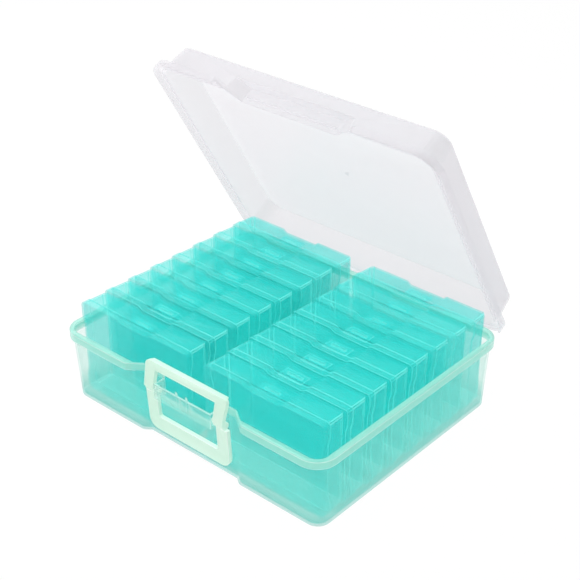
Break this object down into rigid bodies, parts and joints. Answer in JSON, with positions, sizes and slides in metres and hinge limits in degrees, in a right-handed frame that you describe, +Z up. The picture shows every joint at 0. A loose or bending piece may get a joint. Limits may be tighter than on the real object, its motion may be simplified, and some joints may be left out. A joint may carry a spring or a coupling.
{
  "type": "photo storage box",
  "caption": "Translucent carry case with a hinged lid, a front latch and a swing handle, holding two rows of lift-out photo cases.",
  "frame": {"origin": "middle of the tray's underside", "axes": "+X to the right along the front, -Y towards the front with the handle, +Z up"},
  "size_m": [0.386, 0.3444, 0.3688],
  "materials": {
    "tray_plastic": "translucent, satin",
    "lid_plastic": "translucent, satin",
    "handle_plastic": "milky, satin",
    "case_plastic": "translucent, satin"
  },
  "bodies": {
    "tray": {"tray": "tray_plastic"},
    "lid": {"lid": "lid_plastic"},
    "latch": {"latch_frame": "handle_plastic"},
    "handle": {"handle_loop": "handle_plastic"},
    "case_left_1": {"case_left_1_base": "case_plastic", "case_left_1_lid": "case_plastic"},
    "case_left_2": {"case_left_2_base": "case_plastic", "case_left_2_lid": "case_plastic"},
    "case_left_3": {"case_left_3_base": "case_plastic", "case_left_3_lid": "case_plastic"},
    "case_left_4": {"case_left_4_base": "case_plastic", "case_left_4_lid": "case_plastic"},
    "case_left_5": {"case_left_5_base": "case_plastic", "case_left_5_lid": "case_plastic"},
    "case_left_6": {"case_left_6_base": "case_plastic", "case_left_6_lid": "case_plastic"},
    "case_left_7": {"case_left_7_base": "case_plastic", "case_left_7_lid": "case_plastic"},
    "case_left_8": {"case_left_8_base": "case_plastic", "case_left_8_lid": "case_plastic"},
    "case_right_1": {"case_right_1_base": "case_plastic", "case_right_1_lid": "case_plastic"},
    "case_right_2": {"case_right_2_base": "case_plastic", "case_right_2_lid": "case_plastic"},
    "case_right_3": {"case_right_3_base": "case_plastic", "case_right_3_lid": "case_plastic"},
    "case_right_4": {"case_right_4_base": "case_plastic", "case_right_4_lid": "case_plastic"},
    "case_right_5": {"case_right_5_base": "case_plastic", "case_right_5_lid": "case_plastic"},
    "case_right_6": {"case_right_6_base": "case_plastic", "case_right_6_lid": "case_plastic"},
    "case_right_7": {"case_right_7_base": "case_plastic", "case_right_7_lid": "case_plastic"},
    "case_right_8": {"case_right_8_base": "case_plastic", "case_right_8_lid": "case_plastic"}
  },
  "joints": [
    {"name": "lid_hinge", "type": "hinge", "parent": "tray", "child": "lid", "pos_m": [0, 0.1575, 0.0852], "axis": [-1, 0, 0], "range_deg": [-59.65, 50.35]},
    {"name": "latch_pivot", "type": "hinge", "parent": "tray", "child": "latch", "pos_m": [0, -0.1495, 0.0695], "axis": [-1, 0, 0], "range_deg": [-60, 4.5]},
    {"name": "handle_pivot", "type": "hinge", "parent": "tray", "child": "handle", "pos_m": [0, -0.1495, 0.0695], "axis": [-1, 0, 0], "range_deg": [0, 80]},
    {"name": "case_left_1_lift", "type": "slide", "parent": "tray", "child": "case_left_1", "axis": [0, 0, 1], "range_m": [0, 0.12]},
    {"name": "case_left_2_lift", "type": "slide", "parent": "tray", "child": "case_left_2", "axis": [0, 0, 1], "range_m": [0, 0.12]},
    {"name": "case_left_3_lift", "type": "slide", "parent": "tray", "child": "case_left_3", "axis": [0, 0, 1], "range_m": [0, 0.12]},
    {"name": "case_left_4_lift", "type": "slide", "parent": "tray", "child": "case_left_4", "axis": [0, 0, 1], "range_m": [0, 0.12]},
    {"name": "case_left_5_lift", "type": "slide", "parent": "tray", "child": "case_left_5", "axis": [0, 0, 1], "range_m": [0, 0.12]},
    {"name": "case_left_6_lift", "type": "slide", "parent": "tray", "child": "case_left_6", "axis": [0, 0, 1], "range_m": [0, 0.12]},
    {"name": "case_left_7_lift", "type": "slide", "parent": "tray", "child": "case_left_7", "axis": [0, 0, 1], "range_m": [0, 0.11]},
    {"name": "case_left_8_lift", "type": "slide", "parent": "tray", "child": "case_left_8", "axis": [0, 0, 1], "range_m": [0, 0.06]},
    {"name": "case_right_1_lift", "type": "slide", "parent": "tray", "child": "case_right_1", "axis": [0, 0, 1], "range_m": [0, 0.12]},
    {"name": "case_right_2_lift", "type": "slide", "parent": "tray", "child": "case_right_2", "axis": [0, 0, 1], "range_m": [0, 0.12]},
    {"name": "case_right_3_lift", "type": "slide", "parent": "tray", "child": "case_right_3", "axis": [0, 0, 1], "range_m": [0, 0.12]},
    {"name": "case_right_4_lift", "type": "slide", "parent": "tray", "child": "case_right_4", "axis": [0, 0, 1], "range_m": [0, 0.12]},
    {"name": "case_right_5_lift", "type": "slide", "parent": "tray", "child": "case_right_5", "axis": [0, 0, 1], "range_m": [0, 0.12]},
    {"name": "case_right_6_lift", "type": "slide", "parent": "tray", "child": "case_right_6", "axis": [0, 0, 1], "range_m": [0, 0.12]},
    {"name": "case_right_7_lift", "type": "slide", "parent": "tray", "child": "case_right_7", "axis": [0, 0, 1], "range_m": [0, 0.11]},
    {"name": "case_right_8_lift", "type": "slide", "parent": "tray", "child": "case_right_8", "axis": [0, 0, 1], "range_m": [0, 0.06]}
  ]
}
